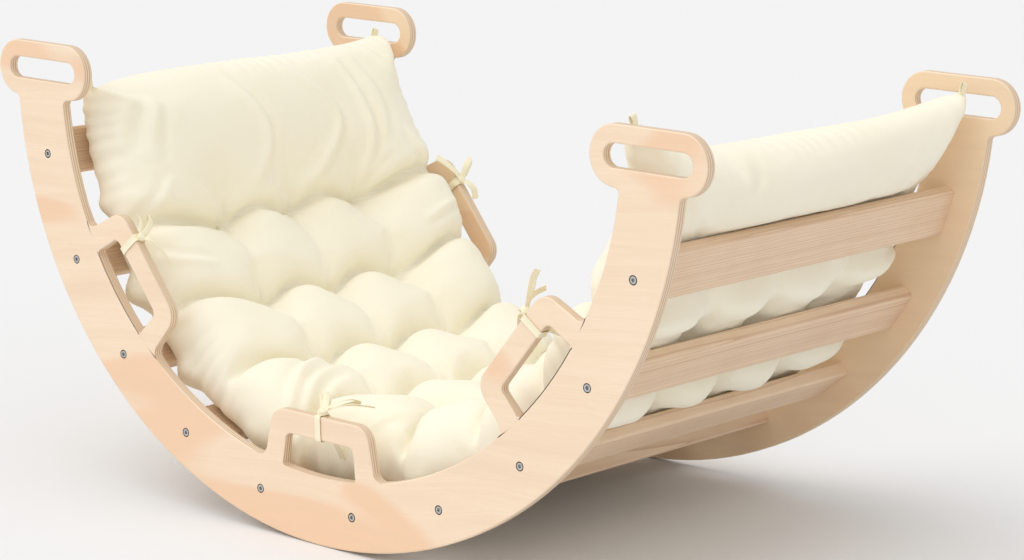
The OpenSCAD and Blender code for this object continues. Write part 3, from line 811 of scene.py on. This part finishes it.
def foldHeights(a, y):
    arcStep = math.radians(1) * 0.36
    height = np.zeros(len(a))
    for points, breadth, rise in folds:
        line = alongLine(points) * (arcStep, 1)
        low, high = line.min(0) - 4 * breadth, line.max(0) + 4 * breadth
        near = np.nonzero((a * arcStep > low[0]) & (a * arcStep < high[0]) & (y > low[1]) & (y < high[1]))[0]
        if not len(near):
            continue
        at = np.stack([a[near] * arcStep, y[near]], -1)
        offset = at[:, None, :] - line[None, :, :]
        distance = np.linalg.norm(offset, axis=2)
        nearest = distance.argmin(1)
        heading = np.gradient(line, axis=0)
        heading /= np.linalg.norm(heading, axis=1)[:, None] + 1e-9
        closest = offset[np.arange(len(near)), nearest]
        side = heading[nearest, 0] * closest[:, 1] - heading[nearest, 1] * closest[:, 0]
        beyond = distance.min(1)
        signed = np.where(side < 0, -beyond, beyond) / breadth
        share = nearest / (len(line) - 1)
        taper = np.sin(np.pi * np.clip(share, 0, 1)) ** 0.8
        height[near] += rise * taper * (np.exp(-signed ** 2) - 0.75 * np.exp(-((signed - 1.5) / 0.9) ** 2))
    return height


def creaseHeights(a, r, y):
    # Sharp valleys along the rows, short pleats round each tuft.
    toRow, toColumn, away, tufted = puffShape(a, y)
    crease = -0.0035 * np.exp(-(toRow / 0.0045) ** 1.5) * tufted
    toColumn = np.min([np.abs(y - c) for c in cushionFacts["columns"]], axis=0)
    under = np.clip((r - seamLine(a) - 0.004) / 0.02, 0, 1)
    crease -= 0.016 * np.exp(-(toColumn / 0.011) ** 1.3) * tufted * under
    pleats = np.zeros(len(a))
    for row in cushionFacts["rows"]:
        for column in cushionFacts["columns"]:
            near = np.nonzero((np.abs(a - row) < 6) & (np.abs(y - column) < 0.04))[0]
            dx, dy = np.radians(a[near] - row) * 0.39, y[near] - column
            distance = np.hypot(dx, dy)
            turn = np.arctan2(dy, dx) + 1.7 * row + 9 * column
            pleats[near] += 0.0013 * np.cos(7 * turn + 1.3 * np.sin(2 * turn)) * np.exp(-((distance - 0.013) / 0.009) ** 2)
    return crease + pleats


# where a side of the cushion rides up beside a grip loop: angle, side, spread in degrees, rise and outward shift
lifts = [(-54.0, 1, 25.0, 0.030, 0.008), (56.0, 1, 18.0, 0.012, 0.004)]


def liftSides(piece):
    points = readPoints(piece.data)
    a, r, y = toArch(points)
    for angle, side, spread, rise, outward in lifts:
        share = np.clip((side * y - 0.07) / 0.17, 0, 1)
        weight = np.exp(-((a - angle) / spread) ** 2) * share * share * (3 - 2 * share)
        r = r - rise * weight
        y = y + side * outward * weight
    writePoints(piece.data, fromArch(a, r, y))


def bulges(a, r, y):
    # The underside swells outwards between the slats, more between the columns of tufts.
    facts = cushionFacts
    toSlat = np.min([np.abs(a - slat) for slat in slatAngles], axis=0)
    gap = np.sin(np.pi / 2 * np.clip((toSlat - 4.0) / 4.1, 0, 1)) ** 2
    size = np.abs(y)
    inner = np.sin(np.pi * np.clip(size / 0.111, 0, 1)) ** 2
    outer = np.sin(np.pi / 2 * np.clip((size - 0.111) / 0.05, 0, 1)) ** 2
    puff = 0.3 + 0.7 * np.where(size < 0.111, inner, outer)
    toRow, toColumn, away, tufted = puffShape(a, y)
    under = np.clip((r - seamLine(a) - 0.002) / 0.016, 0, 1)
    inside = np.clip((slatAngles[-1] - 4 - np.abs(a)) / 4, 0, 1) * (0.3 + 0.7 * np.clip((np.abs(a) - 33) / 5, 0, 1))
    return facts["swell"] * gap * puff * under * inside * (1 - np.exp(-(away / 0.022) ** 2))


def puckers(a, y):
    # Small even gathers along the seam.
    facts = cushionFacts
    fromEnd = (facts["halfAngle"] - np.abs(a)) * math.radians(1) * 0.41
    fromSide = facts["halfWidth"] - np.abs(y)
    along = np.where(fromEnd < fromSide, y, np.radians(a) * 0.41)
    wave = np.cos(along * math.tau / facts["gather"] + 1.6 * np.sin(along / 0.031) + 0.9 * np.sin(along / 0.013))
    strength = 0.5 + 0.5 * np.sin(along / 0.047 + 1.1)
    return 0.0013 * strength * wave * np.exp(-(np.clip(np.minimum(fromEnd, fromSide), 0, 1) / 0.012) ** 2)


def addFolds(piece):
    points = readPoints(piece.data)
    a, r, y = toArch(points)
    face = r < seamLine(a) - 0.004
    rise = np.zeros(len(a))
    rise[face] = foldHeights(a[face], y[face])
    soft = np.clip((seamLine(a) - 0.004 - r) / 0.02, 0, 1)
    crease = creaseHeights(a, r, y)
    normals = np.zeros(len(points) * 3)
    piece.data.vertices.foreach_get("normal", normals)
    move = np.where(face, rise * soft + crease * np.clip(soft * 2, 0, 1), 0.5 * crease)
    move = move + bulges(a, r, y) + puckers(a, y)
    writePoints(piece.data, points + normals.reshape(-1, 3) * move[:, None])


cushion = makeCushionMesh()
cutUv(cushion)
holdPoints(cushion)
stops = makeStops()
inflate(cushion)
for stop in stops:
    bpy.data.objects.remove(stop)
rounder = cushion.modifiers.new("rounder", "SUBSURF")
rounder.levels = rounder.render_levels = 1
applyAll(cushion)
liftSides(cushion)
addFolds(cushion)
cushion.vertex_groups.clear()
selectOnly(cushion)
bpy.ops.object.shade_smooth()
giveMaterial(cushion, cotton)
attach(cushion, "root")
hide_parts("cushion_filling", "cushion_face_cloth", "cushion_back_cloth")
print("cushion done:", len(cushion.data.polygons), "faces")


tapeFacts = {"width": 0.009, "thickness": 0.0008, "across": 4, "perStretch": 7, "curl": 0.0007}
loopFacts = {"top": 0.353, "slotTop": 0.380}  # radii of the grip loop's bar


def makeTape(name, path, sides, closed=False, width=None):
    # A strip that follows the path; sides gives the direction of its width at each point.
    width = width or tapeFacts["width"]
    line = np.array([list(p) for p in path], float)
    across = np.array([list(s) for s in sides], float)
    if closed:
        line, across = np.vstack([line, line[:1]]), np.vstack([across, across[:1]])
    both = alongLine(np.hstack([line, across]), tapeFacts["perStretch"])
    line, across = both[:, :3], both[:, 3:]
    if closed:
        line, across = line[:-1], across[:-1]
    heading = np.roll(line, -1, 0) - np.roll(line, 1, 0) if closed else np.gradient(line, axis=0)
    heading /= np.linalg.norm(heading, axis=1)[:, None]
    across -= heading * np.sum(across * heading, axis=1)[:, None]
    across /= np.linalg.norm(across, axis=1)[:, None]
    up = np.cross(heading, across)
    steps, count = tapeFacts["across"], len(line)
    bpy.ops.mesh.primitive_grid_add(x_subdivisions=count - 1, y_subdivisions=steps, size=1)
    piece = bpy.context.object
    piece.name = name
    points = readPoints(piece.data)
    along = np.rint((points[:, 0] + 0.5) * (count - 1)).astype(int)
    place = points[:, 1]
    curl = tapeFacts["curl"] * (4 * place ** 2 - 0.5)
    writePoints(piece.data, line[along] + across[along] * (place * width)[:, None] + up[along] * curl[:, None])
    length = np.concatenate([[0], np.cumsum(np.linalg.norm(np.diff(line, axis=0), axis=1))])
    flat = piece.data.uv_layers.active or piece.data.uv_layers.new(name="tapeCut")
    for loop in piece.data.loops:
        flat.data[loop.index].uv = (length[along[loop.vertex_index]], place[loop.vertex_index] * width)
    if closed:
        selectOnly(piece)
        bpy.ops.object.mode_set(mode="EDIT")
        bpy.ops.mesh.select_all(action="DESELECT")
        bpy.ops.object.mode_set(mode="OBJECT")
        for vertex, step in zip(piece.data.vertices, along):
            vertex.select = bool(step == 0 or step == count - 1)
        bpy.ops.object.mode_set(mode="EDIT")
        bpy.ops.mesh.bridge_edge_loops()
        bpy.ops.object.mode_set(mode="OBJECT")
    thick = piece.modifiers.new("thickness", "SOLIDIFY")
    thick.thickness, thick.offset = tapeFacts["thickness"], 0
    soft = piece.modifiers.new("softness", "SUBSURF")
    soft.levels = soft.render_levels = 1
    applyAll(piece)
    bpy.ops.object.shade_smooth()
    return piece


def makeKnot(name, centre, alongBar, up):
    # A pulled-tight half knot: a squat ball with the two tape turns pressed into it.
    bpy.ops.mesh.primitive_uv_sphere_add(segments=24, ring_count=14, radius=1)
    piece = bpy.context.object
    piece.name = name
    points = readPoints(piece.data)
    turn = np.arctan2(points[:, 1], points[:, 0])
    groove = 1 - 0.16 * np.exp(-((points[:, 2] - 0.25 * np.sin(turn)) / 0.22) ** 2) + 0.05 * np.sin(3 * turn + 2 * points[:, 2])
    points = points * groove[:, None] * (0.0062, 0.0050, 0.0044)
    alongBar, up = Vector(alongBar).normalized(), Vector(up).normalized()
    side = up.cross(alongBar).normalized()
    turned = points @ np.array([list(alongBar), list(side), list(up)])
    writePoints(piece.data, turned + np.array(list(centre)))
    selectOnly(piece)
    bpy.ops.object.shade_smooth()
    return piece


# Each tie: angle of its grip loop, shift along the bar, side of the cushion, and its free ends
# as lists of (along the bar, towards the arch axis, towards the cushion) in millimetres from the knot.
ties = {
    "front_left_tie": (-51.4, -34, -1, [
        [(0, 0, 0), (-9, 5, 3), (-19, 3, 9), (-29, -4, 14)],
        [(0, 0, 0), (7, 6, 5), (17, 5, 13), (30, 1, 20), (43, -3, 27)],
        [(0, 0, 0), (-4, 8, 6), (-12, 11, 14), (-20, 7, 19), (-16, 3, 17), (-5, 2, 8)]]),
    "front_middle_tie": (0.0, 0, -1, [
        [(0, 0, 0), (-8, 5, 8), (-20, 9, 20), (-31, 8, 30), (-40, 6, 36)],
        [(0, 0, 0), (9, 5, 8), (20, 8, 20), (31, 7, 32), (42, 6, 38)],
        [(0, 0, 0), (-6, 9, 10), (-18, 14, 24), (-26, 11, 32), (-18, 8, 26), (-5, 3, 10)],
        [(0, 0, 0), (6, 9, 10), (17, 13, 25), (22, 10, 33), (14, 8, 26), (4, 3, 10)]]),
    "front_right_tie": (51.4, 34, -1, [
        [(0, 0, 0), (8, 7, 3), (19, 14, 6), (30, 20, 7), (40, 22, 8)],
        [(0, 0, 0), (-10, 6, 5), (-22, 5, 12), (-35, 0, 17)],
        [(0, 0, 0), (4, 9, 8), (10, 14, 20), (17, 13, 31)],
        [(0, 0, 0), (-4, 9, 6), (-13, 13, 15), (-18, 9, 20), (-11, 4, 13), (-3, 2, 5)]]),
    "back_left_tie": (-51.4, -34, 1, [
        [(0, 0, 0), (-6, 8, -3), (-14, 16, -8), (-20, 18, -15), (-15, 12, -14), (-4, 4, -4)],
        [(0, 0, 0), (-10, 4, 6), (-24, 5, 16), (-36, 3, 25)],
        [(0, 0, 0), (8, 5, -4), (18, 4, -9), (28, -4, -12)]]),
    "back_middle_tie": (0.0, 0, 1, [
        [(0, 0, 0), (-8, 5, 8), (-20, 9, 20), (-33, 8, 31)],
        [(0, 0, 0), (9, 5, 8), (21, 8, 21), (36, 7, 34)],
        [(0, 0, 0), (-5, 9, 10), (-16, 13, 24), (-23, 10, 31), (-15, 8, 24), (-4, 3, 9)]]),
    "back_right_tie": (51.4, 34, 1, [
        [(0, 0, 0), (8, 6, -3), (18, 6, -8), (30, 0, -11)],
        [(0, 0, 0), (-9, 6, 5), (-20, 6, 13), (-33, 2, 20)],
        [(0, 0, 0), (5, 9, 6), (13, 14, 15), (18, 10, 21), (11, 5, 13), (3, 2, 5)]]),
}


def makeTie(node, material):
    angle, shift, side, ends = ties[node]
    name = "".join(word.capitalize() if i else word for i, word in enumerate(node.split("_")))
    a = math.radians(angle)
    along = Vector((math.cos(a), 0, math.sin(a)))
    inward = Vector((-math.sin(a), 0, math.cos(a)))
    toCushion = Vector((0, -side, 0))
    mid = (plyInner + plyOuter) / 2
    barTop = onArch(angle, loopFacts["top"], side * mid) + along * shift / 1000

    def at(t, n, w):
        return barTop + along * t / 1000 + inward * n / 1000 + toCushion * w / 1000

    half, deep = (plyOuter - plyInner) * 500 + 0.9, (loopFacts["slotTop"] - loopFacts["top"]) * 1000
    ring = [(-2, 0.9, half - 2.2), (-2, 0.9, 0), (-2, 0.9, 2.2 - half), (-1.5, -1.2, -half),
            (-1, -deep / 2, -half), (0, 1.2 - deep, -half), (0, -deep - 0.9, 2.2 - half),
            (0, -deep - 0.9, half - 2.2), (0, 1.2 - deep, half), (-1, -deep / 2, half), (-1.5, -1.2, half)]
    parts = [makeTape(name, [at(*p) for p in ring], [along] * len(ring), closed=True)]
    knot = at(0, 4.2, 1.5)
    parts.append(makeKnot(name + "Knot", knot, along, inward))
    for end in ends:
        path = [knot + along * t / 1000 + inward * n / 1000 + toCushion * w / 1000 for t, n, w in end]
        sides = []
        for index in range(len(path)):
            heading = (path[min(index + 1, len(path) - 1)] - path[max(index - 1, 0)]).normalized()
            lean = (inward * 0.75 + toCushion * 0.1) if index < 2 else (inward * 0.35 + toCushion * 0.2)
            sides.append(heading.cross(lean).normalized())
        parts.append(makeTape(name + "End", path, sides, width=tapeFacts["width"] * 0.92))
    # the sewn end, from the cushion's side seam up to the knot
    tie = {-51.4: tieAngles[0], 0.0: tieAngles[1], 51.4: tieAngles[2]}[angle]
    seam = onArch(tie, cushionFacts["seamRadius"], side * (cushionFacts["halfWidth"] - 0.003))
    path = [seam, seam.lerp(at(0, -20, half + 3), 0.5) + toCushion * 0.001,
            at(0, -18, half + 2.6), at(0, -4, half + 2.2), at(0, 2.5, 5)]
    parts.append(makeTape(name + "Sewn", path, [along] * 5))
    selectOnly(*parts)
    bpy.ops.object.join()
    piece = parts[0]
    piece.name = name
    giveMaterial(piece, material)
    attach(piece, "root")
    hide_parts(node)
    return piece


def makeCornerTabs(material):
    # A short folded loop of tape sewn into each corner.
    parts = []
    for (end, side), ear in cushionFacts["ears"].items():
        tip = onArch(ear[0], ear[1], ear[2])
        a = math.radians(ear[0])
        out = (Vector((math.cos(a), 0, math.sin(a))) * end + Vector((0, side * 0.35, 0))).normalized()
        across = Vector((0, 1, 0)) - out * out.y
        up = out.cross(across).normalized()
        start = tip - out * 0.006
        path = [start + up * 0.0008, tip + out * 0.002 + up * 0.0018, tip + out * 0.006 + up * 0.0014,
                tip + out * 0.0075, tip + out * 0.006 - up * 0.0014, tip + out * 0.002 - up * 0.0018, start - up * 0.0008]
        parts.append(makeTape("cornerTab", path, [across] * len(path), width=tapeFacts["width"] * 0.95))
    selectOnly(*parts)
    bpy.ops.object.join()
    parts[0].name = "cornerTabs"
    giveMaterial(parts[0], material)
    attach(parts[0], "root")
    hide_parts("corner_tabs")


def makeStitches(cushionPoints, material):
    # Two crossed threads at both ends of every tuft, where the cloth is pulled in.
    selectOnly()
    bpy.ops.mesh.primitive_circle_add(vertices=8, radius=0.0006, location=(0.0046, 0, 0), rotation=(math.radians(90), 0, 0))
    stitch = bpy.context.object
    bpy.ops.object.transform_apply(location=True, rotation=True)
    bpy.ops.object.mode_set(mode="EDIT")
    bpy.ops.mesh.select_all(action="SELECT")
    bpy.ops.mesh.spin(steps=8, angle=math.radians(130), center=(0, 0, 0), axis=(0, 0, 1))
    bpy.ops.mesh.select_all(action="SELECT")
    bpy.ops.mesh.normals_make_consistent(inside=False)
    bpy.ops.object.mode_set(mode="OBJECT")
    shape = readPoints(stitch.data)
    turn = np.arctan2(shape[:, 1], shape[:, 0])
    middle = (turn.max() + turn.min()) / 2
    c, s = math.cos(middle), math.sin(middle)
    # x: out of the cloth, y: along the thread
    shape = np.stack([shape[:, 0] * c + shape[:, 1] * s - 0.0034, -shape[:, 0] * s + shape[:, 1] * c, shape[:, 2]], -1)
    parts = []
    a, r, y = toArch(cushionPoints)
    for row in cushionFacts["rows"]:
        for column in cushionFacts["columns"]:
            near = np.hypot(np.radians(a - row) * 0.4, y - column) < 0.006
            out = onArch(row, 0) - onArch(row, 1)
            along = Vector((0, 1, 0)).cross(out)
            for radius, sign in ((r[near & (r < 0.42)].mean(), 1), (r[near & (r > 0.42)].mean(), -1)):
                for turned in (math.radians(35), math.radians(125)):
                    lie = along * math.cos(turned) + Vector((0, 1, 0)) * math.sin(turned)
                    third = (out * sign).cross(lie)
                    copy = stitch.copy()
                    copy.data = stitch.data.copy()
                    bpy.context.collection.objects.link(copy)
                    place = onArch(row, radius, column)
                    writePoints(copy.data, shape @ np.array([list(out * sign), list(lie), list(third)]) + np.array(list(place)))
                    parts.append(copy)
    bpy.data.objects.remove(stitch)
    selectOnly(*parts)
    bpy.ops.object.join()
    piece = parts[0]
    piece.name = "tuftStitches"
    selectOnly(piece)
    bpy.ops.object.shade_smooth()
    giveMaterial(piece, material)
    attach(piece, "root")
    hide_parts("tuft_threads")


for node in ties:
    makeTie(node, tapeCloth)
makeCornerTabs(tapeCloth)
makeStitches(readPoints(cushion.data), threadCloth)
print("ties, tabs and stitches done")


floorFacts = {"size": 60.0, "colour": (0.826, 0.828, 0.832)}


def makeFloor():
    bpy.ops.mesh.primitive_plane_add(size=floorFacts["size"], location=(0, 0, -0.0004))
    floor = bpy.context.object
    floor.name = "paleFloor"
    material, tree, shader = newMaterial("paleFloor", Roughness=0.8, Specular_IOR_Level=0.05)
    coordinates = addNode(tree, "ShaderNodeTexCoord", -900, 0)
    speck = setInputs(addNode(tree, "ShaderNodeTexNoise", -600, 0), Scale=3.0, Detail=3.0)
    tree.links.new(coordinates.outputs["Object"], speck.inputs["Vector"])
    shade = tuple(c * 0.995 for c in floorFacts["colour"])
    tree.links.new(mixColour(tree, speck.outputs["Fac"], floorFacts["colour"], shade, -200, 0), shader.inputs["Base Color"])
    floor.data.materials.append(material)


def makeLight(name, place, power, softness, colour=(1, 1, 1)):
    bpy.ops.object.light_add(type="SUN", location=place)
    light = bpy.context.object
    light.name = name
    light.data.energy = power
    light.data.angle = math.radians(softness)
    light.data.color = colour
    light.rotation_euler = (-Vector(place)).to_track_quat("-Z", "Y").to_euler()


lightFacts = {"sky": (1.0, 1.0, 1.0), "skyPower": 0.75}

makeFloor()
makeLight("keyLight", (-0.9, -1.5, 3.0), 1.2, 65, (1, 0.99, 0.98))
makeLight("fillLight", (2.2, -2.2, 1.8), 0.15, 70, (0.98, 0.99, 1))
world = bpy.data.worlds.new("studioSky")
world.use_nodes = True
world.node_tree.nodes["Background"].inputs["Color"].default_value = (*lightFacts["sky"], 1)
world.node_tree.nodes["Background"].inputs["Strength"].default_value = lightFacts["skyPower"]
bpy.context.scene.world = world
bpy.context.scene.view_settings.view_transform = "Standard"
print("floor and light done")
